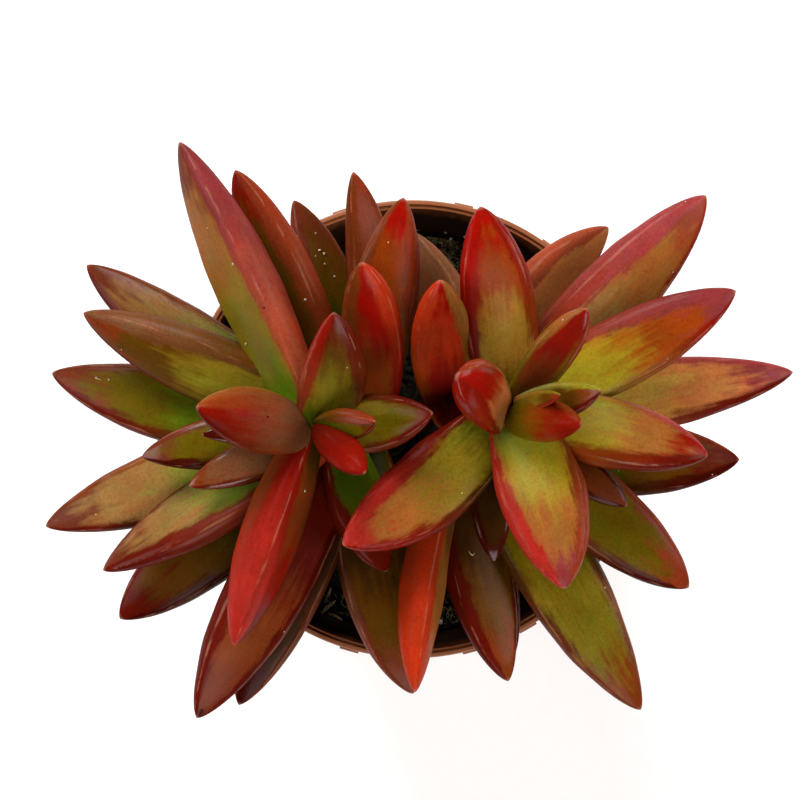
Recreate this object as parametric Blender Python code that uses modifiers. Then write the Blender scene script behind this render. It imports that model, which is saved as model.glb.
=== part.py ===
"""Potted golden sedum: two leafy shoots standing in the soil of a small round nursery pot.

The origin is the centre of the pot's base, +Z is up, and lengths are in metres.
"""
import math
from collections import namedtuple

import bmesh
import bpy
from mathutils import Vector

MM = 0.001

# The pot: a thin turned shell with a collar round its rim
POT_HEIGHT = 75 * MM
RIM_RADIUS = 42.5 * MM
BASE_RADIUS = 30 * MM
WALL = 1.2 * MM
FLOOR = 1.5 * MM
COLLAR_HEIGHT = 11 * MM
COLLAR_TAPER = 0.8 * MM
COLLAR_STEP = 1.3 * MM
COLLAR_SLOPE = 0.4 * MM
LIP_WIDTH = 0.9 * MM
LIP_STEP = 0.6 * MM
LIP_ROUND = 0.3 * MM
BASE_CHAMFER = 0.8 * MM
POT_STEPS = 64
DRAIN_HOLES = 8
DRAIN_RADIUS = 3.5 * MM
DRAIN_CIRCLE = 21 * MM
HOLE_SIDES = 24

# Small lugs moulded on the outside of the rim, by their angle round the pot in degrees
LUG_ANGLES = (108, 77, 53, -60, -75, -106)
LUG_SIZE = (0.8 * MM, 3.6 * MM, 2.0 * MM)
LUG_PROUD = 0.35 * MM
LUG_DROP = 1.6 * MM

# The soil fills the pot to below the rim
SOIL_TOP = POT_HEIGHT - 14 * MM
SOIL_RELIEF = 0.5 * MM
SOIL_WAVE = 4 * MM
SOIL_STEPS = 48
GAP = 0.3 * MM

# The stems: upright in the soil, leaning outwards above it, and ending below the youngest leaves
STEM_RADIUS = 4 * MM
STEM_TOP_RADIUS = 3 * MM
STEM_DEPTH = 11 * MM
BUD_HEIGHT = 6 * MM
STEM_POINTS = 12
Stem = namedtuple("Stem", "foot top top_height")
LEFT_STEM = Stem(Vector((-4.5 * MM, -1 * MM)), Vector((-16.5 * MM, -1 * MM)), POT_HEIGHT + 36 * MM)
RIGHT_STEM = Stem(Vector((5 * MM, -1 * MM)), Vector((17.5 * MM, 2.5 * MM)), POT_HEIGHT + 37 * MM)

# A leaf's section, as shares of its half width, and how finely it is drawn
FACE_RISE = 0.30
FACE_DOME = 0.08
SHOULDER_RISE = 0.62
SHOULDER_ROUND = 0.08
TIP_RISE = 0.15
KEEL_SHARE = 0.2
TIP_FULLNESS = 0.72
LEAF_ANGLES = (0, 32, 90, 148, 180, 230, 270, 310)
LEAF_RINGS = 10

Leaf = namedtuple("Leaf", "turn reach tip root width arch sweep roll shift out base widest blunt belly")


def leaf(turn, reach, tip, root, width, arch=1.0, sweep=0.0, roll=0.0, shift=0.0, out=0.0,
         base=0.45, widest=0.5, blunt=1.8, belly=0.8):
    """One leaf as it grows. Angles are in degrees and lengths in millimetres.

    turn is the leaf's heading seen from above, counted from +X, and reach the distance from
    the stem's centre to its tip. tip and root are heights above the rim. arch and sweep bow
    its middle up and to its left, and roll turns its face to its left. shift and out move its
    root off the stem's centre. base, widest and blunt shape its outline, and belly its depth.
    """
    return Leaf(turn, reach, tip, root, width, arch, sweep, roll, shift, out, base, widest, blunt, belly)


# turn, reach, tip, root, width, and then what sets a leaf apart, from the lowest leaves up
LEFT_LEAVES = (
    leaf(-113.7, 54, 7, 9, 12.6, sweep=-0.2, blunt=2.2),
    leaf(-79.5, 48, 10, 6, 14.5, sweep=-2, blunt=2.1),
    leaf(-118, 58, 14, 13, 15, arch=1.5, sweep=0.2, roll=20, blunt=2.0),
    leaf(-142, 55, 7, 9, 15, arch=1.5, sweep=-0.7, blunt=2.3),
    leaf(169, 55.8, 8, 12, 14.4, arch=1.5, sweep=1.6),
    leaf(-162.5, 57, 11, 14.4, 13.8, arch=1.5, sweep=-0.4),
    leaf(147.5, 55.5, 13, 15, 11.6, arch=1.5, sweep=1.6, blunt=2.2),
    leaf(107.5, 44, 10, 5, 11, sweep=-1.5, roll=-30, blunt=2.3),
    leaf(92.5, 46.3, 16, 6, 10.5, sweep=-1.8, roll=-30, shift=-2.5, blunt=2.0),
    leaf(-149, 48.4, 18, 19, 13.4, arch=1.5, roll=-38),
    leaf(155.5, 49.5, 20, 19, 14.5, arch=1.5, sweep=0.7, roll=42, shift=-2, belly=0.7),
    leaf(112.7, 48.5, 28, 16, 12.7, sweep=-0.5, roll=35, blunt=2.2),
    leaf(78, 40.5, 30, 10, 12.5, arch=0, blunt=2.0),
    leaf(-72, 26.5, 16, 18, 11, sweep=-1, roll=20),
    leaf(-171.5, 33.5, 24, 22, 10, arch=1.5, sweep=-0.4),
    leaf(-157, 26, 28, 24, 8),
    leaf(-176, 21, 32, 26, 5),
    leaf(117.5, 54.5, 36, 24, 14.2, sweep=0.1, roll=55, shift=3, belly=0.9),
    leaf(86.3, 27.3, 40, 11, 10.7, arch=0, sweep=-1.3, shift=-2.7, blunt=2.8),
    leaf(-112.5, 40.5, 30, 26, 14.5, arch=2, sweep=0.5, roll=72, shift=-2, belly=0.9),
    leaf(173, 20, 48, 29.5, 11.3, arch=1.5, roll=165, shift=1, out=3, base=0.6, belly=0.7),
    leaf(81, 18.1, 50, 30, 11.5, arch=0, sweep=-1.3, base=0.7, widest=0.35),
    leaf(5, 19, 46, 29, 10, arch=0, sweep=-0.5, base=0.6, widest=0.45),
    leaf(-45, 11.8, 48, 33, 6.2, roll=180, blunt=2.6, belly=0.7),
    leaf(0, 10, 50, 33, 6, arch=0, roll=-40),
    leaf(-20, 6.5, 43, 33, 3, arch=0),
)
RIGHT_LEAVES = (
    leaf(-76, 42.5, 5, 3, 9),
    leaf(49, 37, 9, 6, 10),
    leaf(-60.5, 59.4, 12, 12, 15, arch=1.5, sweep=-0.9),
    leaf(-7.8, 49, 8, 10, 15.4, arch=1.5, sweep=-2.1),
    leaf(107, 36, 14, 8, 14, sweep=-1, roll=30),
    leaf(-80.5, 46.5, 14, 6, 13, sweep=-1.9, roll=20, blunt=2.1),
    leaf(55, 42.5, 15, 10, 13, sweep=3.3, roll=-30, blunt=2.1),
    leaf(8.5, 56, 15, 15, 12.7, arch=1.5, sweep=-0.3),
    leaf(-40, 47, 16, 16, 13.8, arch=1.5, blunt=2.2),
    leaf(-101.5, 48.4, 22, 8, 11.3, sweep=-1.6, roll=72, shift=0.5, widest=0.6, belly=0.95),
    leaf(-87, 25.5, 20, 16, 7.6, blunt=2.2),
    leaf(45.5, 53.5, 26, 18, 14, arch=1.5, sweep=-0.8, roll=-20, blunt=2.2),
    leaf(-36.5, 27.5, 26, 22, 7.2, blunt=2.5),
    leaf(27, 45, 32, 23, 12.5, arch=1.5, sweep=-0.4, blunt=2.0),
    leaf(-13.5, 35, 32, 27, 12.5, roll=15, blunt=2.0),
    leaf(-140, 36, 34, 24, 14.2, arch=1.5, sweep=2.1, blunt=2.1),
    leaf(95, 34.5, 38, 20, 12.9, sweep=-1, shift=-2, blunt=2.2),
    leaf(-74, 32, 38, 28, 15.2, sweep=1.1),
    leaf(104.5, 23.5, 40, 9, 11, arch=0, sweep=0.8, shift=3, blunt=2.5),
    leaf(53, 19, 50, 30, 7.3, arch=0, blunt=2.5),
    leaf(7.5, 13.5, 49, 32, 6.5, arch=0, sweep=-0.5),
    leaf(-19, 11, 49, 31, 7.5, roll=165, shift=-2.4, blunt=2.2, belly=0.7),
    leaf(157, 10.5, 53, 28, 10, sweep=-1, shift=3, widest=0.6, blunt=2.8, belly=0.65),
    leaf(8, 6.5, 50.5, 34, 3.2, arch=0),
)


def clear_scene():
    """Remove every object, so the model stands alone."""
    for obj in list(bpy.data.objects):
        bpy.data.objects.remove(obj)


def new_collection(name):
    """Add a collection to the scene."""
    collection = bpy.data.collections.new(name)
    bpy.context.scene.collection.children.link(collection)
    return collection


def new_material(name, colour, roughness):
    """Make a plain Principled material."""
    material = bpy.data.materials.new(name)
    material.use_nodes = True
    shader = material.node_tree.nodes["Principled BSDF"]
    shader.inputs["Base Color"].default_value = (*colour, 1)
    shader.inputs["Roughness"].default_value = roughness
    shader.inputs["Metallic"].default_value = 0
    return material


def add_object(name, data, collection):
    """Put mesh or curve data into a collection as an object."""
    obj = bpy.data.objects.new(name, data)
    collection.objects.link(obj)
    return obj


def applied(obj, collection):
    """Replace an object by a mesh of it with its modifiers applied, under the same name."""
    bpy.context.view_layer.update()
    evaluated = obj.evaluated_get(bpy.context.evaluated_depsgraph_get())
    mesh = bpy.data.meshes.new_from_object(evaluated)
    name = obj.name
    place = obj.matrix_world.copy()
    bpy.data.objects.remove(obj)
    solid = add_object(name, mesh, collection)
    solid.matrix_world = place
    return solid


def weld(obj):
    """Join the loose caps of a mesh that was made from a curve."""
    bm = bmesh.new()
    bm.from_mesh(obj.data)
    bmesh.ops.remove_doubles(bm, verts=bm.verts, dist=0.01 * MM)
    bmesh.ops.recalc_face_normals(bm, faces=bm.faces)
    bm.to_mesh(obj.data)
    bm.free()


def turned(name, profile, steps, collection):
    """Turn a profile of (radius, height) points round the Z axis."""
    mesh = bpy.data.meshes.new(name)
    points = [(radius, 0, height) for radius, height in profile]
    edges = [(i, i + 1) for i in range(len(profile) - 1)]
    mesh.from_pydata(points, edges, [])
    obj = add_object(name, mesh, collection)
    screw = obj.modifiers.new("Turn", "SCREW")
    screw.steps = steps
    screw.render_steps = steps
    screw.use_merge_vertices = True
    screw.merge_threshold = 0.01 * MM
    return applied(obj, collection)


def cylinder(name, radius, bottom, top, place, collection):
    """A round cutter that stands upright at place."""
    middle = (place[0], place[1], (top + bottom) / 2)
    bpy.ops.mesh.primitive_cylinder_add(
        vertices=HOLE_SIDES, radius=radius, depth=top - bottom, location=middle)
    obj = bpy.context.object
    obj.name = name
    for owner in list(obj.users_collection):
        owner.objects.unlink(obj)
    collection.objects.link(obj)
    return obj


def box(name, size, place, turn, collection):
    """A box of the given size, turned about Z."""
    bm = bmesh.new()
    bmesh.ops.create_cube(bm, size=1)
    bmesh.ops.scale(bm, vec=size, verts=bm.verts)
    mesh = bpy.data.meshes.new(name)
    bm.to_mesh(mesh)
    bm.free()
    obj = add_object(name, mesh, collection)
    obj.location = place
    obj.rotation_euler = (0, 0, turn)
    return obj


def combine(obj, others, operation, solver, collection):
    """Join or cut an object with all of a collection's objects, and remove those."""
    modifier = obj.modifiers.new("Combine", "BOOLEAN")
    modifier.operation = operation
    modifier.operand_type = "COLLECTION"
    modifier.collection = others
    modifier.solver = solver
    result = applied(obj, collection)
    for other in list(others.objects):
        bpy.data.objects.remove(other)
    bpy.data.collections.remove(others)
    return result


def inner_radius(height):
    """Radius of the pot's inner wall at a height above its floor."""
    share = (height - FLOOR) / (POT_HEIGHT - FLOOR)
    bottom = BASE_RADIUS - WALL
    top = RIM_RADIUS - LIP_WIDTH - LIP_STEP
    return bottom + (top - bottom) * share


def make_pot(collection, material):
    """The pot: a tapered wall, a collar with a stepped lip, lugs on it and drain holes below."""
    under_collar = POT_HEIGHT - COLLAR_HEIGHT
    lip_inside = RIM_RADIUS - LIP_WIDTH
    profile = [
        (0, FLOOR),
        (BASE_RADIUS - WALL, FLOOR),
        (inner_radius(POT_HEIGHT - LIP_STEP), POT_HEIGHT - LIP_STEP),
        (lip_inside, POT_HEIGHT - LIP_STEP),
        (lip_inside, POT_HEIGHT),
        (RIM_RADIUS - LIP_ROUND, POT_HEIGHT),
        (RIM_RADIUS, POT_HEIGHT - LIP_ROUND),
        (RIM_RADIUS - COLLAR_TAPER, under_collar),
        (RIM_RADIUS - COLLAR_TAPER - COLLAR_STEP, under_collar - COLLAR_SLOPE),
        (BASE_RADIUS, BASE_CHAMFER),
        (BASE_RADIUS - BASE_CHAMFER, 0),
        (0, 0),
    ]
    pot = turned("pot", profile, POT_STEPS, collection)

    lugs = new_collection("lugs")
    for angle in LUG_ANGLES:
        turn = math.radians(angle)
        distance = RIM_RADIUS + LUG_PROUD - LUG_SIZE[0] / 2
        place = (distance * math.cos(turn), distance * math.sin(turn), POT_HEIGHT - LUG_DROP)
        box("lug", LUG_SIZE, place, turn, lugs)
    pot = combine(pot, lugs, "UNION", "EXACT", collection)

    drains = new_collection("drains")
    for i in range(DRAIN_HOLES):
        turn = 2 * math.pi * i / DRAIN_HOLES
        place = (DRAIN_CIRCLE * math.cos(turn), DRAIN_CIRCLE * math.sin(turn))
        cylinder("drain", DRAIN_RADIUS, -FLOOR, 2 * FLOOR, place, drains)
    pot = combine(pot, drains, "DIFFERENCE", "EXACT", collection)
    pot.data.shade_smooth()
    pot.data.set_sharp_from_angle(angle=math.radians(30))
    pot.data.materials.clear()
    pot.data.materials.append(material)
    return pot


def soil_height(x, y):
    """Gentle bumps on the soil, as heights above SOIL_TOP: broad waves with smaller ones on them."""
    broad = math.sin(x / SOIL_WAVE + 0.7) * math.sin(1.2 * y / SOIL_WAVE)
    small = math.sin(1.5 * (x + y) / SOIL_WAVE) * math.sin(0.8 * (x - 2 * y) / SOIL_WAVE + 1.1)
    return SOIL_RELIEF * (broad + 0.6 * small)


def make_soil(collection, material):
    """The soil: it fills the pot, with a bumpy top and a plain hole for each stem."""
    bottom = FLOOR + GAP
    edge = inner_radius(SOIL_TOP) - GAP
    profile = [(edge * share, SOIL_TOP) for share in (0, 0.2, 0.4, 0.6, 0.8, 1)]
    profile.append((inner_radius(bottom) - GAP, bottom))
    profile.append((0, bottom))
    soil = turned("soil", profile, SOIL_STEPS, collection)
    for vertex in soil.data.vertices:
        x, y, z = vertex.co
        if z > SOIL_TOP - GAP and math.hypot(x, y) < 0.9 * edge:
            vertex.co.z = SOIL_TOP + soil_height(x, y)

    holes = new_collection("stem holes")
    for stem in (LEFT_STEM, RIGHT_STEM):
        cylinder("hole", STEM_RADIUS + GAP, SOIL_TOP - STEM_DEPTH - GAP, POT_HEIGHT, stem.foot, holes)
    soil = combine(soil, holes, "DIFFERENCE", "EXACT", collection)
    soil.data.materials.clear()
    soil.data.materials.append(material)
    return soil


def stem_centre(stem, height):
    """Centre of a stem at a height: upright up to the soil, then a smooth lean to its top."""
    share = (height - SOIL_TOP) / (stem.top_height - SOIL_TOP)
    share = min(max(share, 0), 1)
    lean = share * share * (3 - 2 * share)
    place = stem.foot.lerp(stem.top, lean)
    return Vector((place.x, place.y, height))


def make_stem(name, stem, collection):
    """A stem: a tapered round tube along its leaning centre line."""
    curve = bpy.data.curves.new(name, "CURVE")
    curve.dimensions = "3D"
    curve.bevel_depth = STEM_RADIUS
    curve.bevel_resolution = 2
    curve.use_fill_caps = True
    spline = curve.splines.new("POLY")
    spline.points.add(STEM_POINTS - 1)
    bottom = SOIL_TOP - STEM_DEPTH
    end = stem.top_height - BUD_HEIGHT
    for i, point in enumerate(spline.points):
        share = i / (STEM_POINTS - 1)
        centre = stem_centre(stem, bottom + (end - bottom) * share)
        point.co = (*centre, 1)
        point.radius = 1 + (STEM_TOP_RADIUS / STEM_RADIUS - 1) * share
    tube = applied(add_object(name, curve, collection), collection)
    weld(tube)
    return tube


def outline(shape, along):
    """Share of the leaf's full width at a share of its length."""
    if along < shape.widest:
        return 1 - (1 - shape.base) * (1 - along / shape.widest) ** 2
    return (1 - ((along - shape.widest) / (1 - shape.widest)) ** shape.blunt) ** TIP_FULLNESS


def depth(shape, along, around):
    """Height of the skin over the leaf's middle plane: a low dome between steep shoulders, and a keel."""
    across = abs(math.cos(around))
    rise = math.sin(around)
    if rise <= 0:
        return shape.belly * ((1 - KEEL_SHARE) * rise - KEEL_SHARE * (1 - across))
    dome = FACE_RISE + FACE_DOME * rise * rise
    shoulder = SHOULDER_RISE * rise
    near = max(SHOULDER_ROUND - abs(dome - shoulder), 0)
    return min(dome, shoulder) - near * near / (4 * SHOULDER_ROUND) + TIP_RISE * along ** 3 * rise


def leaf_skin(stem, shape, along, around):
    """A point on the skin of a leaf: along runs from root to tip, around goes round it."""
    turn = math.radians(shape.turn)
    ahead = Vector((math.cos(turn), math.sin(turn), 0))
    left = Vector((-ahead.y, ahead.x, 0))
    axis = stem_centre(stem, POT_HEIGHT + shape.root * MM)
    root = axis + ahead * shape.out * MM + left * shape.shift * MM
    tip = axis + ahead * shape.reach * MM
    tip.z = POT_HEIGHT + shape.tip * MM
    rise = (tip - root).normalized().cross(left)
    middle = (root + tip) / 2 + 2 * MM * (rise * shape.arch + left * shape.sweep)

    centre = root * (1 - along) ** 2 + middle * 2 * along * (1 - along) + tip * along ** 2
    run = ((middle - root) * (1 - along) + (tip - middle) * along).normalized()
    side = (left - run * left.dot(run)).normalized()
    normal = run.cross(side)
    roll = math.radians(shape.roll)
    across = side * math.cos(roll) - normal * math.sin(roll)
    up = side * math.sin(roll) + normal * math.cos(roll)

    half = shape.width / 2 * MM * outline(shape, along)
    return centre + across * half * math.cos(around) + up * half * depth(shape, along, around)


def make_leaf(stem, shape, collection):
    """A leaf: a sphere whose poles become its root and its tip."""
    sides = len(LEAF_ANGLES)
    bm = bmesh.new()
    bmesh.ops.create_uvsphere(bm, u_segments=sides, v_segments=LEAF_RINGS, radius=1)
    for vertex in bm.verts:
        x, y, z = vertex.co
        along = 0.5 + math.asin(max(-1, min(1, z))) / math.pi
        side = round(math.atan2(y, x) / (2 * math.pi) * sides) % sides
        vertex.co = leaf_skin(stem, shape, along, math.radians(LEAF_ANGLES[side]))
    bmesh.ops.triangulate(bm, faces=bm.faces)
    mesh = bpy.data.meshes.new("leaf")
    bm.to_mesh(mesh)
    bm.free()
    return add_object("leaf", mesh, collection)


def make_shoot(name, stem, leaves, collection, material):
    """A leafy shoot: its leaves joined to its stem in one body."""
    shoot = make_stem(name, stem, collection)
    foliage = new_collection(name + " leaves")
    for shape in leaves:
        make_leaf(stem, shape, foliage)
    shoot = combine(shoot, foliage, "UNION", "MANIFOLD", collection)
    shoot.data.materials.clear()
    shoot.data.materials.append(material)
    return shoot


def main():
    clear_scene()
    parts = new_collection("potted golden sedum")
    make_pot(parts, new_material("terracotta plastic", (0.37, 0.11, 0.035), 0.55))
    make_soil(parts, new_material("potting soil", (0.012, 0.010, 0.008), 0.95))
    leaf_skin_material = new_material("leaf skin", (0.30, 0.14, 0.03), 0.4)
    make_shoot("left_shoot", LEFT_STEM, LEFT_LEAVES, parts, leaf_skin_material)
    make_shoot("right_shoot", RIGHT_STEM, RIGHT_LEAVES, parts, leaf_skin_material)


main()
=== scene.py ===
import math
import random
from collections import namedtuple

import bmesh
import bpy
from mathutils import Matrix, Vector, noise


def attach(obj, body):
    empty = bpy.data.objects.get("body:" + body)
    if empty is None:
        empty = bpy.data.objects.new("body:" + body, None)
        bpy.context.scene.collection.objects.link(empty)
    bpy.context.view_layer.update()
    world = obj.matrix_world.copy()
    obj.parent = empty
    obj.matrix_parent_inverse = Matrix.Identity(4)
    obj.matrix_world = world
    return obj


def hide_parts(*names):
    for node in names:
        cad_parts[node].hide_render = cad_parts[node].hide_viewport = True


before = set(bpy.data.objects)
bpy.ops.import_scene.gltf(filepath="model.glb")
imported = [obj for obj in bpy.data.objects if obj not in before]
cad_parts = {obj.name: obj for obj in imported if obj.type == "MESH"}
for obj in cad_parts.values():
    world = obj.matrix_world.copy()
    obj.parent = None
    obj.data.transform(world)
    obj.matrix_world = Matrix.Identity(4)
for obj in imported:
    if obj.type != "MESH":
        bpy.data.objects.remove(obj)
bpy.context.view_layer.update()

MM = 0.001

# The pot: a thin turned shell with a collar round its rim
POT_HEIGHT = 75 * MM
RIM_RADIUS = 42.5 * MM
BASE_RADIUS = 30 * MM
WALL = 1.2 * MM
FLOOR = 1.5 * MM
COLLAR_HEIGHT = 11 * MM
COLLAR_TAPER = 0.8 * MM
COLLAR_STEP = 1.3 * MM
COLLAR_SLOPE = 0.4 * MM
LIP_WIDTH = 0.9 * MM
LIP_STEP = 0.6 * MM
LIP_ROUND = 0.3 * MM
BASE_CHAMFER = 0.8 * MM
EDGE_ROUND = 0.15 * MM
FLOOR_ROUND = 1 * MM
CORNER_STEPS = 4
SHARP_ANGLE = 30
POT_STEPS = 180
DRAIN_HOLES = 8
DRAIN_RADIUS = 3.5 * MM
DRAIN_CIRCLE = 21 * MM
HOLE_SIDES = 48

# Small lugs moulded on the outside of the rim, by their angle round the pot in degrees
LUG_ANGLES = (108, 77, 53, -60, -75, -106)
LUG_SIZE = (0.8 * MM, 3.6 * MM, 2.0 * MM)
LUG_PROUD = 0.35 * MM
LUG_DROP = 1.6 * MM

# A soil stain and painted shade darken the wall's inside: how thick the darkened skin is, how ragged its
# upper line, and how it fades
STAIN_AND_SHADE_SKIN = 0.4 * MM
STAIN_AND_SHADE_RAGGED = 7 * MM
STAIN_AND_SHADE_FADE = 2 * MM

# The soil fills the pot to below the rim, with a narrow gap at the wall and round the stems
GAP = 0.3 * MM
SOIL_TOP = POT_HEIGHT - 14 * MM
SOIL_RELIEF = 0.5 * MM
SOIL_WAVE = 4 * MM
SOIL_RINGS = 90
SOIL_STEPS = 220
CRUMB_RELIEF = 0.35 * MM
CRUMB_WAVE = 1.3 * MM

# The crumbly relief adds up octaves of noise: how fast they weaken, how much finer each is, and how many
CRUMB_FALL = 0.6
CRUMB_LEAP = 2.2
CRUMB_OCTAVES = 4

# Any random draws start here
SEED = 7

# Crumbs lie all over the soil, clear of the wall and the stems. Their sizes are in millimetres, and their
# middles and those of the perlite stand a share of their size above the soil
CRUMBS = 520
CRUMB_SIZES = (0.5, 1.7)
CRUMB_PROUD = 0.15
PERLITE_PROUD = 0.2
CLEARANCE = 1.2 * MM

# Any lump is a ball stretched each way by a share of its size, and dented by noise from a random place
LUMP_STRETCH = (0.7, 1.2)
LUMP_WAVES = 1.6
NOISE_REACH = 90

# Threads of moss and root. Their spread round a place, height, lift and stride are in millimetres, and their
# bend from one point to the next in radians
MOSS_THREADS = 45
MOSS_SPREAD = (1.6, 1.2)
THREAD_POINTS = 8
THREAD_SIDES = 5
THREAD_RADIUS = 0.07 * MM
THREAD_HEIGHT = 0.1
THREAD_LIFTS = (0.1, 0.9)
THREAD_BEND = 0.35
THREAD_STRIDES = (0.12, 0.36)
THREAD_INSET = 0.05 * MM

# Chips are flat slivers that lie a little above the soil, pointed at both ends, tilted and curled
CHIP_POINTS = 9
CHIP_HALF_WIDTH = 0.42 * MM
CHIP_THICKNESS = 0.1 * MM
CHIP_LIFT = 0.45 * MM
CHIP_CURL = 0.3 * MM
CHIP_SLOPE = 0.12
CHIP_UNEVEN = (0.75, 1.2)

# Small things on the soil, where the photograph shows them, by x and y in millimetres. A grain of perlite
# has a size besides, and a chip a heading in degrees and a length
PERLITE_PLACES = ((1, 39, 1.3), (6.5, 38.5, 1.1), (7.5, 36.8, 0.9), (5.5, 36, 0.8), (10.4, 37.5, 1.0),
                  (5.3, -36.4, 1.1), (-10, -33, 0.8), (24, -22, 0.9), (-27, 20, 0.8), (29, 15, 0.9))
CHIP_PLACES = ((-16.3, -33.8, 40, 4.6), (-14.7, -35.4, -25, 3.2), (-16.1, -31.6, 70, 3.4),
               (3, 33.5, 15, 3.0), (11, 35, -50, 2.6), (22.7, 32, 30, 4.2), (20.6, 33.6, -60, 2.4))
MOSS_PLACES = ((2.5, 36.5), (5.4, 35), (8.3, 33), (3.8, 37), (1.2, 38), (6.8, 36.8), (4.6, 33.4), (12, 34),
               (-13, -34), (8, -35), (14, -33))

# The stems: upright in the soil, leaning outwards above it, and ending below the youngest leaves
STEM_RADIUS = 4 * MM
STEM_TOP_RADIUS = 3 * MM
STEM_DEPTH = 11 * MM
BUD_HEIGHT = 6 * MM
STEM_SIDES = 28
STEM_RINGS = 90
Stem = namedtuple("Stem", "foot top top_height")
LEFT_STEM = Stem(Vector((-4.5 * MM, -1 * MM)), Vector((-16.5 * MM, -1 * MM)), POT_HEIGHT + 36 * MM)
RIGHT_STEM = Stem(Vector((5 * MM, -1 * MM)), Vector((17.5 * MM, 2.5 * MM)), POT_HEIGHT + 37 * MM)

# Scars of dropped leaves wind up a stem, with smaller knobs between them
SCAR_RISE = 0.14 * MM
SCAR_WAVE = 0.55 * MM
KNOB_RISE = 0.12 * MM
KNOB_SIZE = 2 * MM

# The camera looks down into the pot from about half a metre, tilted by a few degrees, its top towards +Y.
# Its lens and sensor are in millimetres
LENS = 102
SENSOR_WIDTH = 36
CAMERA_PLACE = (-2.33 * MM, -16.81 * MM, 494.42 * MM)
CAMERA_TILT = 3

# The paper under the pot is 4 m across
PAPER_RADIUS = 2

# Soft boxes by their place, size and power in watts: the key behind the plant, and weaker ones round it
LAMPS = (
    ("key", (-0.20, 0.55, 0.60), 0.42, 7.2),
    ("left_fill", (-0.62, -0.05, 0.50), 0.42, 2.9),
    ("right_fill", (0.62, 0.10, 0.50), 0.42, 3.9),
    ("front_fill", (0.05, -0.55, 0.60), 0.42, 3.7),
)

# Dust on the left shoot's leaves: leaf, how far along and round it, and size in millimetres
DUST_PLACES = ((7, 0.84, 95, 0.4), (7, 0.77, 85, 0.5), (7, 0.75, 92, 0.5), (7, 0.71, 84, 0.4),
               (7, 0.65, 95, 0.5), (7, 0.43, 88, 0.6), (7, 0.40, 92, 0.4), (12, 0.62, 100, 0.5),
               (11, 0.5, 130, 0.4), (17, 0.35, 60, 0.4), (17, 0.6, 120, 0.4), (4, 0.8, 110, 0.5),
               (9, 0.35, 80, 0.4), (19, 0.3, 100, 0.4), (3, 0.45, 60, 0.5))
# Leaf ends that have dried and turned brown, in the same terms
DRIED_ENDS = ((2, 0.984, 90, 0.9), (2, 0.97, 95, 0.8))
# Fine fibres on the leaves: shoot, leaf, where it starts and ends along and round the leaf, and its radius.
# Each is bowed by a share of the leaf's length and stands off the skin by a share of its own radius
FIBRE_PLACES = (("right", 5, 0.50, 110, 0.51, 100, 0.05), ("left", 4, 0.84, 112, 0.825, 106, 0.06),
                ("left", 2, 0.53, 95, 0.55, 88, 0.03), ("left", 3, 0.5, 95, 0.51, 88, 0.05))
FIBRE_POINTS = 9
FIBRE_SIDES = 6
FIBRE_BOW = 0.012
FIBRE_PROUD = 0.3

# A leaf's section, as shares of its half width, and how finely it is drawn
FACE_RISE = 0.30
FACE_DOME = 0.08
SHOULDER_RISE = 0.62
SHOULDER_ROUND = 0.08
TIP_RISE = 0.15
KEEL_SHARE = 0.2
TIP_FULLNESS = 0.72
LEAF_SIDES = 32
LEAF_RINGS = 44
ROOT_ROUND = 0.06
UNEVEN = 0.03
UNEVEN_SIZE = 6

# How far the streaks shift the borders between tones, as shares of the length, half width and depth, and
# how far they change the roughness. The edge tones reach further under a leaf than over it
RAGGED_ALONG = 0.6
RAGGED_EDGE = 0.85
RAGGED_UNDER = 0.4
RAGGED_GLOSS = 0.15
EDGE_UNDER = 0.2

# Where each tone of a leaf's face takes over from the one before, as shares of its length
FACE_STEPS = {"face_near": (0.10, 0.36), "face_far": (0.42, 0.70), "face_tip": (0.74, 0.94)}

# Lines along a leaf, by their middle and half width: one inside the edge tone, and one on the shoulder that
# is painted highlight as well as worn wax
DEEP_LINE = (0.05, 0.04)
WORN_HIGHLIGHT_LINE = (0.87, 0.03)

# One leaf as it grows. Angles are in degrees and lengths in millimetres. turn is its heading seen from
# above, counted from +X, and reach the distance from the stem's centre to its tip. tip and root are
# heights above the rim. arch and sweep bow its middle up and to its left, and roll turns its face to its
# left. shift and out move its root off the stem's centre. base, widest and blunt shape its outline, and
# belly its depth.
Leaf = namedtuple("Leaf", "turn reach tip root width arch sweep roll shift out base widest blunt belly",
                  defaults=(1.0, 0, 0, 0, 0, 0.45, 0.5, 1.8, 0.8))
Skin = namedtuple("Skin", "tones margins gloss")


def skin(tones, margins=(0.3, 0.3), gloss=0.2):
    """The colouring of one leaf.

    tones names four tones along its upper side, two along its left edge, two along its right edge
    and two along its underside, all from root to tip. margins says how far the edge tones reach in
    over the face at mid-length, as shares of the half width, and gloss how shiny the leaf is.
    """
    return Skin(tones.replace(",", "").split(), margins, gloss)


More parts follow.
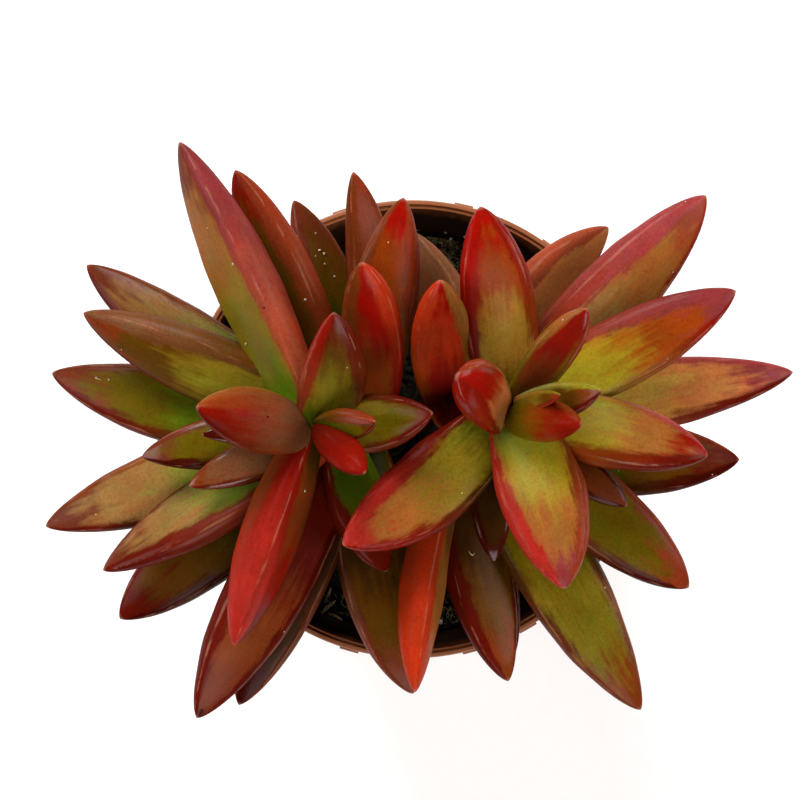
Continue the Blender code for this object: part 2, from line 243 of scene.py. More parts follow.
# turn, reach, tip, root, width, and then what sets a leaf apart, from the lowest leaves up
LEFT_LEAVES = (
    Leaf(-113.7, 54, 7, 9, 12.6, sweep=-0.2, blunt=2.2),
    Leaf(-79.5, 48, 10, 6, 14.5, sweep=-2, blunt=2.1),
    Leaf(-118, 58, 14, 13, 15, arch=1.5, sweep=0.2, roll=20, blunt=2.0),
    Leaf(-142, 55, 7, 9, 15, arch=1.5, sweep=-0.7, blunt=2.3),
    Leaf(169, 55.8, 8, 12, 14.4, arch=1.5, sweep=1.6),
    Leaf(-162.5, 57, 11, 14.4, 13.8, arch=1.5, sweep=-0.4),
    Leaf(147.5, 55.5, 13, 15, 11.6, arch=1.5, sweep=1.6, blunt=2.2),
    Leaf(107.5, 44, 10, 5, 11, sweep=-1.5, roll=-30, blunt=2.3),
    Leaf(92.5, 46.3, 16, 6, 10.5, sweep=-1.8, roll=-30, shift=-2.5, blunt=2.0),
    Leaf(-149, 48.4, 18, 19, 13.4, arch=1.5, roll=-38),
    Leaf(155.5, 49.5, 20, 19, 14.5, arch=1.5, sweep=0.7, roll=42, shift=-2, belly=0.7),
    Leaf(112.7, 48.5, 28, 16, 12.7, sweep=-0.5, roll=35, blunt=2.2),
    Leaf(78, 40.5, 30, 10, 12.5, arch=0, blunt=2.0),
    Leaf(-72, 26.5, 16, 18, 11, sweep=-1, roll=20),
    Leaf(-171.5, 33.5, 24, 22, 10, arch=1.5, sweep=-0.4),
    Leaf(-157, 26, 28, 24, 8),
    Leaf(-176, 21, 32, 26, 5),
    Leaf(117.5, 54.5, 36, 24, 14.2, sweep=0.1, roll=55, shift=3, belly=0.9),
    Leaf(86.3, 27.3, 40, 11, 10.7, arch=0, sweep=-1.3, shift=-2.7, blunt=2.8),
    Leaf(-112.5, 40.5, 30, 26, 14.5, arch=2, sweep=0.5, roll=72, shift=-2, belly=0.9),
    Leaf(173, 20, 48, 29.5, 11.3, arch=1.5, roll=165, shift=1, out=3, base=0.6, belly=0.7),
    Leaf(81, 18.1, 50, 30, 11.5, arch=0, sweep=-1.3, base=0.7, widest=0.35),
    Leaf(5, 19, 46, 29, 10, arch=0, sweep=-0.5, base=0.6, widest=0.45),
    Leaf(-45, 11.8, 48, 33, 6.2, roll=180, blunt=2.6, belly=0.7),
    Leaf(0, 10, 50, 33, 6, arch=0, roll=-40),
    Leaf(-20, 6.5, 43, 33, 3, arch=0),
)
RIGHT_LEAVES = (
    Leaf(-76, 42.5, 5, 3, 9),
    Leaf(49, 37, 9, 6, 10),
    Leaf(-60.5, 59.4, 12, 12, 15, arch=1.5, sweep=-0.9),
    Leaf(-7.8, 49, 8, 10, 15.4, arch=1.5, sweep=-2.1),
    Leaf(107, 36, 14, 8, 14, sweep=-1, roll=30),
    Leaf(-80.5, 46.5, 14, 6, 13, sweep=-1.9, roll=20, blunt=2.1),
    Leaf(55, 42.5, 15, 10, 13, sweep=3.3, roll=-30, blunt=2.1),
    Leaf(8.5, 56, 15, 15, 12.7, arch=1.5, sweep=-0.3),
    Leaf(-40, 47, 16, 16, 13.8, arch=1.5, blunt=2.2),
    Leaf(-101.5, 48.4, 22, 8, 11.3, sweep=-1.6, roll=72, shift=0.5, widest=0.6, belly=0.95),
    Leaf(-87, 25.5, 20, 16, 7.6, blunt=2.2),
    Leaf(45.5, 53.5, 26, 18, 14, arch=1.5, sweep=-0.8, roll=-20, blunt=2.2),
    Leaf(-36.5, 27.5, 26, 22, 7.2, blunt=2.5),
    Leaf(27, 45, 32, 23, 12.5, arch=1.5, sweep=-0.4, blunt=2.0),
    Leaf(-13.5, 35, 32, 27, 12.5, roll=15, blunt=2.0),
    Leaf(-140, 36, 34, 24, 14.2, arch=1.5, sweep=2.1, blunt=2.1),
    Leaf(95, 34.5, 38, 20, 12.9, sweep=-1, shift=-2, blunt=2.2),
    Leaf(-74, 32, 38, 28, 15.2, sweep=1.1),
    Leaf(104.5, 23.5, 40, 9, 11, arch=0, sweep=0.8, shift=3, blunt=2.5),
    Leaf(53, 19, 50, 30, 7.3, arch=0, blunt=2.5),
    Leaf(7.5, 13.5, 49, 32, 6.5, arch=0, sweep=-0.5),
    Leaf(-19, 11, 49, 31, 7.5, roll=165, shift=-2.4, blunt=2.2, belly=0.7),
    Leaf(157, 10.5, 53, 28, 10, sweep=-1, shift=3, widest=0.6, blunt=2.8, belly=0.65),
    Leaf(8, 6.5, 50.5, 34, 3.2, arch=0),
)

# The tones of the skin, from the green root of a leaf to its sun-reddened tip
TONES = {
    "mist": "#817e3e",
    "sage": "#74802c",
    "leafgreen": "#566c0a",
    "fern": "#445305",
    "moss": "#3b3704",
    "olive": "#5a4804",
    "khaki": "#725f14",
    "pea": "#85751c",
    "lime": "#907919",
    "butter": "#b8923c",
    "peach": "#b56c3c",
    "straw": "#966c25",
    "sand": "#8a6136",
    "tan": "#8b5123",
    "clay": "#70422a",
    "amber": "#85350a",
    "bronze": "#583406",
    "umber": "#392005",
    "bark": "#261103",
    "rust": "#702e10",
    "plum": "#652919",
    "brick": "#812e19",
    "coral": "#984028",
    "rose": "#92363a",
    "berry": "#7a2c30",
    "cherry": "#9a231c",
    "flame": "#a62c11",
    "scarlet": "#8c0c04",
    "crimson": "#7a1107",
    "wine": "#580f05",
    "maroon": "#3e0802",
}

# One line for each leaf of the lists above, in the same order
LEFT_SKINS = (
    skin("bark bark umber maroon, umber plum, bark plum, bark maroon", (0.15, 0.15)),
    skin("moss umber bronze plum, rust rust, umber plum, umber plum", (0.12, 0.2)),
    skin("maroon wine rust plum, maroon wine, wine wine, maroon plum", (0.25, 0.25), 0.2),
    skin("fern olive bronze wine, umber maroon, bronze wine, bark maroon", (0.25, 0.15)),
    skin("leafgreen leafgreen olive plum, bronze wine, fern plum, umber rust", (0.25, 0.2)),
    skin("sage sage sand plum, umber wine, tan rust, umber rust", (0.2, 0.15)),
    skin("mist mist sand plum, rust wine, bronze rust, bronze wine", (0.25, 0.15), 0.3),
    skin("bark moss bronze plum, umber plum, bark rust, bark plum", (0.3, 0.2)),
    skin("umber rust rust brick, rust rust, rust rust, umber rust", (0.3, 0.2)),
    skin("sage sage sand plum, brick wine, bronze plum, rust wine", (0.35, 0.2), 0.3),
    skin("khaki pea bronze rust, bronze wine, bronze clay, bronze clay", (0.2, 0.35)),
    skin("moss bronze bronze crimson, umber crimson, rust brick, rust coral", (0.1, 0.4)),
    skin("amber amber amber scarlet, rust rust, bronze brick, wine crimson", (0.2, 0.3)),
    skin("leafgreen fern wine wine, leafgreen wine, wine wine, maroon wine", (0.3, 0.35)),
    skin("bronze olive olive plum, umber maroon, bronze plum, umber wine", (0.3, 0.25), 0.6),
    skin("khaki clay clay rust, bronze wine, bronze rust, wine rust", (0.25, 0.15), 0.8),
    skin("bronze bronze rust maroon, rust maroon, rust maroon, maroon maroon", gloss=0.8),
    skin("leafgreen khaki tan plum, khaki clay, coral berry, brick berry", (0.1, 0.32)),
    skin("bronze amber scarlet scarlet, bronze rust, crimson flame, wine coral", (0.4, 0.4)),
    skin("umber rust crimson wine, umber wine, crimson cherry, rust cherry", (0.2, 0.45), 0.1),
    skin("mist tan crimson wine, khaki tan, rust wine, clay crimson", (0.8, 0.8), 0.4),
    skin("fern khaki bronze wine, brick crimson, rust wine, wine wine", (0.4, 0.3), 0.4),
    skin("fern khaki olive wine, umber wine, rust wine, wine wine", (0.2, 0.25), 0.3),
    skin("tan bronze crimson crimson, wine wine, crimson crimson, wine crimson", gloss=0.5),
    skin("fern fern olive wine, bronze brick, bronze wine, rust brick", (0.55, 0.2), 0.5),
    skin("bronze bronze rust crimson, wine wine, crimson crimson, rust crimson", gloss=0.5),
)
RIGHT_SKINS = (
    skin("bark bark umber maroon, bark maroon, bark maroon, bark maroon"),
    skin("moss umber bronze rust, moss rust, umber rust, bark umber", (0.1, 0.1)),
    skin("moss olive khaki rust, bronze rust, umber plum, umber plum", (0.15, 0.15)),
    skin("fern fern bronze wine, bronze brick, bronze maroon, bark maroon", (0.15, 0.3), 0.1),
    skin("mist sand clay clay, clay clay, clay clay, clay clay", (0.2, 0.2)),
    skin("bark umber bronze rust, umber wine, maroon wine, bark wine", (0.15, 0.35)),
    skin("tan peach peach peach, coral coral, olive rust, rust coral", (0.35, 0.1)),
    skin("lime butter peach berry, coral rose, brick wine, umber wine", (0.2, 0.25)),
    skin("moss olive olive brick, umber brick, rust maroon, umber maroon", (0.2, 0.2)),
    skin("bronze tan tan flame, tan coral, flame flame, rust flame", (0.15, 0.4), 0.1),
    skin("bark bark umber maroon, bark maroon, umber maroon, bark maroon", (0.2, 0.3), 0.6),
    skin("straw sand tan brick, brick rose, umber crimson, wine crimson", (0.45, 0.15)),
    skin("bronze rust rust plum, umber maroon, wine maroon, bark maroon", (0.2, 0.3), 0.35),
    skin("pea lime amber berry, brick berry, khaki crimson, umber crimson", (0.4, 0.2)),
    skin("pea lime tan crimson, khaki rose, amber wine, moss maroon", (0.2, 0.35)),
    skin("moss khaki tan cherry, umber crimson, wine cherry, umber scarlet", (0.2, 0.4)),
    skin("olive straw amber scarlet, wine scarlet, amber crimson, bronze crimson", (0.4, 0.25)),
    skin("sage lime tan berry, rust brick, cherry cherry, rust crimson", (0.25, 0.35)),
    skin("maroon crimson flame scarlet, amber flame, khaki tan, amber flame", (0.4, 0.35)),
    skin("bronze rust crimson crimson, olive tan, khaki crimson, umber wine", (0.3, 0.25), 0.5),
    skin("tan khaki bronze rust, mist pea, bronze wine, wine wine", (0.3, 0.3), 0.5),
    skin("olive bronze amber crimson, khaki crimson, khaki rust, olive crimson", (0.6, 0.6), 0.6),
    skin("peach peach scarlet scarlet, crimson crimson, khaki brick, wine wine", (0.5, 0.2), 0.4),
    skin("khaki khaki bronze rust, straw khaki, rust crimson, rust crimson", gloss=0.6),
)
SHOOTS = {
    "left": (LEFT_STEM, LEFT_LEAVES, LEFT_SKINS),
    "right": (RIGHT_STEM, RIGHT_LEAVES, RIGHT_SKINS),
}

# What the mode of each kind of node is called
MODE_NAMES = {"Math": "operation", "VectorMath": "operation", "Mix": "data_type",
              "MapRange": "interpolation_type"}


def linear(hex_colour):
    """Linear RGBA of an sRGB hex colour."""
    shares = [int(hex_colour[i:i + 2], 16) / 255 for i in (1, 3, 5)]
    return (*[s / 12.92 if s <= 0.04045 else ((s + 0.055) / 1.055) ** 2.4 for s in shares], 1)


def connect(material, node, inputs):
    """Feed a node's inputs, by name or number, from values, hex colours, sockets or other nodes."""
    for name, value in inputs.items():
        socket = next(s for i, s in enumerate(node.inputs) if s.enabled and name in (i, s.name))
        if isinstance(value, bpy.types.Node):
            value = next(s for s in value.outputs if s.enabled)
        if isinstance(value, bpy.types.NodeSocket):
            material.node_tree.links.new(value, socket)
        else:
            socket.default_value = linear(value) if isinstance(value, str) else value


def add(material, kind, inputs=None, mode=None, **settings):
    """Add a shader node with its inputs and settings. mode says which sum, mix or curve it makes."""
    node = material.node_tree.nodes.new("ShaderNode" + kind)
    if mode:
        settings[MODE_NAMES[kind]] = mode
    for name, value in settings.items():
        setattr(node, name, value)
    connect(material, node, inputs or {})
    return node


def new_material(name, **fixed):
    """A material with its shader, whose fixed values are set on its own sockets."""
    material = bpy.data.materials.new(name)
    material.use_nodes = True
    shader = material.node_tree.nodes["Principled BSDF"]
    connect(material, shader, {socket.replace("_", " "): value for socket, value in fixed.items()})
    return material, shader


def cover(m, tone, colour, value, start, end, most=1.0, mode="LINEAR"):
    """Lay a colour over a tone, from none of it where a value is start to the most where it is end."""
    share = add(m, "MapRange", {"Value": value, "From Min": start, "From Max": end, "To Max": most}, mode)
    return add(m, "Mix", {"Factor": share, "A": tone, "B": colour}, "RGBA")


def waxy_leaf_skin():
    """Living succulent skin: tight and smooth under a thin wax, so satin with soft highlights.

    Strong light reddens the edges and the tip, in ragged lengthwise streaks over the green face.
    A little light passes into the juicy flesh and comes out again.
    """
    m, shader = new_material("waxy_leaf_skin", IOR=1.45, Subsurface_Weight=0.06, Subsurface_Scale=1 * MM,
                             Subsurface_Radius=(2.0, 0.8, 0.3))
    carried = {}
    for names, output in ((NUMBER_NAMES, "Fac"), (VECTOR_NAMES, "Vector"), (TONE_NAMES, "Color")):
        for name in names:
            carried[name] = add(m, "Attribute", attribute_name=name).outputs[output]
    along = carried["along"]
    place = carried["place"]

    # Streaks 9 mm long and under 1 mm wide, and blotches 4 mm across, make every border ragged
    stretched = add(m, "VectorMath", {0: place, 1: (1 / 9, 1 / 0.9, 1 / 0.9)}, "MULTIPLY")
    streaks = add(m, "TexNoise", {"Vector": stretched, "Scale": 1, "Detail": 3})
    blotches = add(m, "TexNoise", {"Vector": place, "Scale": 1 / 4, "Detail": 3})
    both = add(m, "Mix", {"Factor": 0.45, "A": streaks, "B": blotches}, "FLOAT")
    ragged = add(m, "Math", {0: both, 1: 0.5}, "SUBTRACT")

    # The face, from root to tip
    shifted = add(m, "Math", {0: ragged, 1: RAGGED_ALONG, 2: along}, "MULTIPLY_ADD")
    face = carried["face_root"]
    for name, (start, end) in FACE_STEPS.items():
        face = cover(m, face, carried[name], shifted, start, end, mode="SMOOTHSTEP")

    # The edges and the flank run from their root tone to their tip tone
    whole = add(m, "MapRange", {"Value": shifted, "From Min": 0.25, "From Max": 0.85}, "SMOOTHSTEP")
    mixed = {}
    for name in ("left", "right", "flank"):
        mixed[name] = add(m, "Mix", {"Factor": whole, "A": carried[name + "_root"],
                                     "B": carried[name + "_tip"]}, "RGBA")
    to_left = add(m, "MapRange", {"Value": carried["across"], "From Min": -0.15, "From Max": 0.15})
    edge_tone = add(m, "Mix", {"Factor": to_left, "A": mixed["right"], "B": mixed["left"]}, "RGBA")
    margins = add(m, "SeparateXYZ", {"Vector": carried["margins"]})
    reach = add(m, "Mix", {"Factor": to_left, "A": margins.outputs["Y"], "B": margins.outputs["X"]}, "FLOAT")

    # The edge tones start narrow at the root and close over the tip
    growth = add(m, "MapRange", {"Value": along, "To Min": 0.4, "To Max": 1.8})
    reach = add(m, "Math", {0: reach, 1: growth}, "MULTIPLY")
    off_middle = add(m, "Math", {0: carried["across"]}, "ABSOLUTE")
    distance = add(m, "Math", {0: 1.0, 1: off_middle}, "SUBTRACT")
    distance = add(m, "Math", {0: ragged, 1: RAGGED_EDGE, 2: distance}, "MULTIPLY_ADD")
    inside = add(m, "Math", {0: reach, 1: distance}, "SUBTRACT")
    tone = cover(m, face, edge_tone, inside, -0.14, 0.12, mode="SMOOTHSTEP")

    # The red is deepest in a thin line where it meets the green
    border = add(m, "Math", {0: inside, 1: DEEP_LINE[0], 2: DEEP_LINE[1]}, "COMPARE")
    deep = add(m, "MapRange", {"Value": border, "To Min": 1.0, "To Max": 0.88})
    tone = add(m, "VectorMath", {0: tone, "Scale": deep}, "SCALE")

    # The underside takes over below the edge
    turned_under = add(m, "Math", {0: ragged, 1: RAGGED_UNDER, 2: carried["below"]}, "MULTIPLY_ADD")
    beneath = add(m, "Math", {0: reach, 1: EDGE_UNDER}, "ADD")
    tone = cover(m, tone, mixed["flank"], turned_under, 0.05, beneath, mode="SMOOTHSTEP")

    # A pale line along the shoulder, broken along its length, is painted highlight on the ridge as well as
    # wax rubbed thin
    shoulder = add(m, "Math", {0: off_middle, 1: WORN_HIGHLIGHT_LINE[0], 2: WORN_HIGHLIGHT_LINE[1]}, "COMPARE")
    worn_highlight = add(m, "MapRange", {"Value": streaks, "From Min": 0.47, "From Max": 0.6, "To Max": 0.22},
               "SMOOTHSTEP")
    line = add(m, "Math", {0: shoulder, 1: worn_highlight}, "MULTIPLY")
    above = add(m, "Math", {0: carried["below"], 1: 0.0}, "LESS_THAN")
    line = add(m, "Math", {0: line, 1: above}, "MULTIPLY")
    tone = add(m, "Mix", {"Factor": line, "A": tone, "B": "#c08a72"}, "RGBA")

    # Cells of the skin are too fine to show, so they are drawn 0.5 mm across, under clouds of 5 mm
    cells = add(m, "TexNoise", {"Vector": place, "Scale": 1 / 0.5, "Detail": 2})
    clouds = add(m, "TexNoise", {"Vector": place, "Scale": 1 / 5, "Detail": 2})
    uneven = add(m, "Mix", {"Factor": 0.5, "A": cells, "B": clouds}, "FLOAT")
    shade = add(m, "MapRange", {"Value": uneven, "From Min": 0.3, "From Max": 0.7,
                                "To Min": 0.76, "To Max": 1.16})
    tone = add(m, "VectorMath", {0: tone, "Scale": shade}, "SCALE")

    # The colour lies unevenly under the skin: greener patches 7 mm long, and red specks 0.45 mm across
    mottled = add(m, "VectorMath", {0: place, 1: (1 / 7, 1 / 3, 1 / 3)}, "MULTIPLY")
    patches = add(m, "TexNoise", {"Vector": mottled, "Scale": 1, "Detail": 4})
    hue = cover(m, (1.02, 0.92, 0.8, 1), (0.88, 1.08, 0.9, 1), patches, 0.35, 0.65)
    tone = add(m, "VectorMath", {0: tone, 1: hue}, "MULTIPLY")
    specks = add(m, "TexNoise", {"Vector": place, "Scale": 1 / 0.45, "Detail": 4})
    red = add(m, "VectorMath", {0: tone, 1: (0.9, 0.5, 0.5)}, "MULTIPLY")
    tone = cover(m, tone, red, specks, 0.52, 0.64, 0.45)

    # Here and there a brown scar, and a grain of pale dust, both well under a millimetre
    for size, rarity, radius, colour in ((5.0, 0.7, 0.05, "#1c0f06"), (3.4, 0.8, 0.04, "#d8c4a8")):
        spots = add(m, "TexVoronoi", {"Vector": place, "Scale": 1 / size})
        chosen = add(m, "SeparateColor", {"Color": spots.outputs["Color"]})
        rare = add(m, "Math", {0: chosen, 1: rarity}, "GREATER_THAN")
        close = add(m, "MapRange", {"Value": spots.outputs["Distance"],
                                    "From Min": radius, "From Max": radius * 0.5})
        spot = add(m, "Math", {0: rare, 1: close}, "MULTIPLY")
        tone = add(m, "Mix", {"Factor": spot, "A": tone, "B": colour}, "RGBA")

    # A dry pale point ends each leaf
    tone = cover(m, tone, "#c49a86", along, 0.985, 0.998, 0.2)

    # The wax is thinnest, and shiniest, at the tip
    sheen = add(m, "MapRange", {"Value": along, "From Min": 0.6, "From Max": 0.95, "To Max": 0.1})
    rough = add(m, "MapRange", {"Value": carried["gloss"], "To Min": 0.36, "To Max": 0.2})
    rough = add(m, "Math", {0: rough, 1: sheen}, "SUBTRACT")
    rough = add(m, "Math", {0: ragged, 1: RAGGED_GLOSS, 2: rough}, "MULTIPLY_ADD")

    # The wax is thin on the underside, and dull where the skin is seen at a grazing angle
    shine = add(m, "MapRange", {"Value": carried["gloss"], "From Min": 0.06, "To Min": 0.01, "To Max": 0.4})
    wax = add(m, "MapRange", {"Value": carried["below"], "From Min": -0.3, "From Max": 0.2,
                              "To Min": shine, "To Max": 0.02})
    facing = add(m, "LayerWeight", {"Blend": 0.5}).outputs["Facing"]
    glancing = add(m, "MapRange", {"Value": facing, "From Min": 0.45, "From Max": 0.9,
                                   "To Min": 1.0, "To Max": 0.1})
    wax = add(m, "Math", {0: wax, 1: glancing}, "MULTIPLY")
    relief = add(m, "Mix", {"Factor": 0.5, "A": cells, "B": streaks}, "FLOAT")
    bump = add(m, "Bump", {"Height": relief, "Distance": 0.06 * MM, "Strength": 0.5})
    connect(m, shader, {"Base Color": tone, "Roughness": rough, "Specular IOR Level": wax, "Normal": bump})
    return m


def stem_bark():
    """Young succulent stem: a thin corky skin over green, dull, with lengthwise cracks, its tones darkened
    by painted shade.
    """
    m, shader = new_material("stem_bark", Roughness=0.7, IOR=1.45)
    place = add(m, "TexCoord").outputs["Object"]
    long = add(m, "VectorMath", {0: place, 1: (1 / (0.6 * MM), 1 / (0.6 * MM), 1 / (4 * MM))}, "MULTIPLY")
    cracks = add(m, "TexNoise", {"Vector": long, "Scale": 1, "Detail": 4})
    patches = add(m, "TexNoise", {"Vector": place, "Scale": 1 / (5 * MM), "Detail": 3})
    # Both bark tones are darkened with painted shade, as the stem stands deep among the leaves
    tone = cover(m, "#382818", "#2c2a10", patches, 0.45, 0.62, mode="SMOOTHSTEP")
    dark = add(m, "MapRange", {"Value": cracks, "From Min": 0.38, "From Max": 0.55,
                               "To Min": 0.35, "To Max": 1.1})
    tone = add(m, "VectorMath", {0: tone, "Scale": dark}, "SCALE")
    bump = add(m, "Bump", {"Height": cracks, "Distance": 0.2 * MM})
    connect(m, shader, {"Base Color": tone, "Normal": bump})
    return m


def moulded_polypropylene():
    """Injection-moulded polypropylene coloured terracotta: satin and even, darkened inside by a soil stain
    and painted shade.
    """
    m, shader = new_material("moulded_polypropylene", Roughness=0.42, IOR=1.49)
    place = add(m, "TexCoord").outputs["Object"]

    # Melt that met while it cooled leaves faint clouds 8 mm across
    clouds = add(m, "TexNoise", {"Vector": place, "Scale": 1 / (8 * MM), "Detail": 3})
    tone = add(m, "Mix", {"Factor": clouds, "A": "#8a4a26", "B": "#9c5a30"}, "RGBA")

    # The wall's inside is dark up to a ragged line below the rim: a stain of wet soil, and painted shade of
    # the deep pot
    grains = add(m, "TexNoise", {"Vector": place, "Scale": 1 / (1.5 * MM), "Detail": 5})
    axes = add(m, "SeparateXYZ", {"Vector": place})
    flat = add(m, "VectorMath", {0: place, 1: (1, 1, 0)}, "MULTIPLY")
    radius = add(m, "VectorMath", {0: flat}, "LENGTH").outputs["Value"]
    wall = add(m, "MapRange", {"Value": axes.outputs["Z"], "From Min": FLOOR, "From Max": POT_HEIGHT,
                               "To Min": inner_radius(FLOOR), "To Max": inner_radius(POT_HEIGHT)})
    beyond = add(m, "Math", {0: radius, 1: wall}, "SUBTRACT")
    inside = add(m, "Math", {0: beyond, 1: STAIN_AND_SHADE_SKIN}, "LESS_THAN")
    level = add(m, "Math", {0: grains, 1: STAIN_AND_SHADE_RAGGED, 2: axes.outputs["Z"]}, "MULTIPLY_ADD")
    stain_and_shade = add(m, "MapRange", {"Value": level,
                                  "From Min": POT_HEIGHT + STAIN_AND_SHADE_FADE, "From Max": POT_HEIGHT - STAIN_AND_SHADE_FADE,
                                  "To Max": 0.9}, "SMOOTHSTEP")
    stain_and_shade = add(m, "Math", {0: inside, 1: stain_and_shade}, "MULTIPLY")
    tone = add(m, "Mix", {"Factor": stain_and_shade, "A": tone, "B": "#1c0c06"}, "RGBA")

    # The mould's spark-eroded grain, a quarter of a millimetre across
    grain = add(m, "TexNoise", {"Vector": place, "Scale": 1 / (0.25 * MM), "Detail": 1})
    bump = add(m, "Bump", {"Height": grain, "Distance": 0.03 * MM, "Strength": 0.4})
    connect(m, shader, {"Base Color": tone, "Normal": bump})
    return m


def potting_soil():
    """Moist peat, near-black partly as painted shade: dark crumbs with brown fibres, dull with a few damp
    glints.
    """
    m, shader = new_material("potting_soil", IOR=1.4, Specular_IOR_Level=0.08)
    place = add(m, "TexCoord").outputs["Object"]
    grains = add(m, "TexNoise", {"Vector": place, "Scale": 1 / (0.9 * MM), "Detail": 5, "Roughness": 0.65})
    patches = add(m, "TexNoise", {"Vector": place, "Scale": 1 / (6 * MM), "Detail": 2})
    # The near-black tones are dark peat deepened by painted shade of the gaps under the leaves
    tone = cover(m, "#080605", "#31271b", grains, 0.42, 0.7)
    tone = cover(m, tone, "#15140a", patches, 0.55, 0.72, 0.5)
    damp = add(m, "MapRange", {"Value": grains, "From Min": 0.3, "From Max": 0.5,
                               "To Min": 0.45, "To Max": 0.95})
    bump = add(m, "Bump", {"Height": grains, "Distance": 0.4 * MM})
    connect(m, shader, {"Base Color": tone, "Roughness": damp, "Normal": bump})
    return m


def small_matter(name, dark, pale, grain, roughness):
    """Dry matter lying on the soil: two tones mixed in grains of the given size, dull."""
    m, shader = new_material(name, Roughness=roughness, IOR=1.4, Specular_IOR_Level=0.12)
    place = add(m, "TexCoord").outputs["Object"]
    grains = add(m, "TexNoise", {"Vector": place, "Scale": 1 / grain, "Detail": 4})
    tone = cover(m, dark, pale, grains, 0.35, 0.65)
    bump = add(m, "Bump", {"Height": grains, "Distance": 0.1 * MM})
    connect(m, shader, {"Base Color": tone, "Normal": bump})
    return m


def studio_paper():
    """White background paper: matte and pale, with a pulp grain of a few millimetres."""
    m, shader = new_material("studio_paper", Roughness=0.95, IOR=1.4)
    place = add(m, "TexCoord").outputs["Object"]
    pulp = add(m, "TexNoise", {"Vector": place, "Scale": 1 / (3 * MM), "Detail": 2})
    tone = add(m, "Mix", {"Factor": pulp, "A": "#f4f3f1", "B": "#f7f6f5"}, "RGBA")
    connect(m, shader, {"Base Color": tone})
    return m


def new_object(name, data):
    """Put a mesh, a lamp or a camera in the scene."""
    data.name = name
    obj = bpy.data.objects.new(name, data)
    bpy.context.scene.collection.objects.link(obj)
    return obj


def add_piece(name, mesh, material, slot, *replaced):
    """Put a finished mesh in the scene as a piece that rides on the plant's root body."""
    piece = new_object(name, mesh)
    mesh.materials.clear()
    mesh.materials.append(material)
    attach(piece, "root")
    for node in replaced:
        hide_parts(node)


def finished(bm):
    """Turn a bmesh into a smooth-shaded mesh with its faces outwards, and free it."""
    bmesh.ops.recalc_face_normals(bm, faces=bm.faces)
    mesh = bpy.data.meshes.new("mesh")
    bm.to_mesh(mesh)
    bm.free()
    mesh.shade_smooth()
    return mesh


def bridge(bm, rings, sides):
    """Join rings of vertices with faces, each to the next. A ring may be a single vertex."""
    for low, high in zip(rings, rings[1:]):
        for side in range(sides):
            after = (side + 1) % sides
            corners = [low[side % len(low)], low[after % len(low)]]
            corners += [high[after % len(high)], high[side % len(high)]]
            bm.faces.new(list(dict.fromkeys(corners)))


def close_bar(bm, rings):
    """Join equal rings into a bar that is closed at both ends."""
    bridge(bm, rings, len(rings[0]))
    bm.faces.new(rings[0][::-1])
    bm.faces.new(rings[-1])


def stem_centre(stem, height):
    """Centre of a stem at a height: upright up to the soil, then a smooth lean to its top."""
    share = (height - SOIL_TOP) / (stem.top_height - SOIL_TOP)
    share = min(max(share, 0), 1)
    lean = share * share * (3 - 2 * share)
    place = stem.foot.lerp(stem.top, lean)
    return Vector((place.x, place.y, height))


def outline(shape, along):
    """Share of the leaf's full width at a share of its length."""
    if along < shape.widest:
        width = 1 - (1 - shape.base) * (1 - along / shape.widest) ** 2
        return width * math.sqrt(1 - max(1 - along / ROOT_ROUND, 0) ** 2)
    return (1 - ((along - shape.widest) / (1 - shape.widest)) ** shape.blunt) ** TIP_FULLNESS


def depth(shape, along, around):
    """Height of the skin over the leaf's middle plane: a low dome between steep shoulders, and a keel."""
    across = abs(math.cos(around))
    rise = math.sin(around)
    if rise <= 0:
        return shape.belly * ((1 - KEEL_SHARE) * rise - KEEL_SHARE * (1 - across))
    dome = FACE_RISE + FACE_DOME * rise * rise
    shoulder = SHOULDER_RISE * rise
    near = max(SHOULDER_ROUND - abs(dome - shoulder), 0)
    return min(dome, shoulder) - near * near / (4 * SHOULDER_ROUND) + TIP_RISE * along ** 3 * rise


def leaf_frame(stem, shape, along):
    """Centre of the leaf at a share of its length, its directions across and up, and its length."""
    turn = math.radians(shape.turn)
    ahead = Vector((math.cos(turn), math.sin(turn), 0))
    left = Vector((-ahead.y, ahead.x, 0))
    axis = stem_centre(stem, POT_HEIGHT + shape.root * MM)
    root = axis + ahead * shape.out * MM + left * shape.shift * MM
    tip = axis + ahead * shape.reach * MM
    tip.z = POT_HEIGHT + shape.tip * MM
    rise = (tip - root).normalized().cross(left)
    middle = (root + tip) / 2 + 2 * MM * (rise * shape.arch + left * shape.sweep)

    centre = root * (1 - along) ** 2 + middle * 2 * along * (1 - along) + tip * along ** 2
    run = ((middle - root) * (1 - along) + (tip - middle) * along).normalized()
    side = (left - run * left.dot(run)).normalized()
    normal = run.cross(side)
    roll = math.radians(shape.roll)
    across = side * math.cos(roll) - normal * math.sin(roll)
    up = side * math.sin(roll) + normal * math.cos(roll)
    return centre, across, up, (tip - root).length


# What each point of a leaf carries for its skin: numbers, vectors and tones
NUMBER_NAMES = ("along", "across", "below", "gloss")
VECTOR_NAMES = ("place", "margins")
TONE_NAMES = ("face_root", "face_near", "face_far", "face_tip", "left_root", "left_tip",
              "right_root", "right_tip", "flank_root", "flank_tip")

# Each leaf takes its patterns from a stretch of its own
LEAF_SPACING = 50 * MM


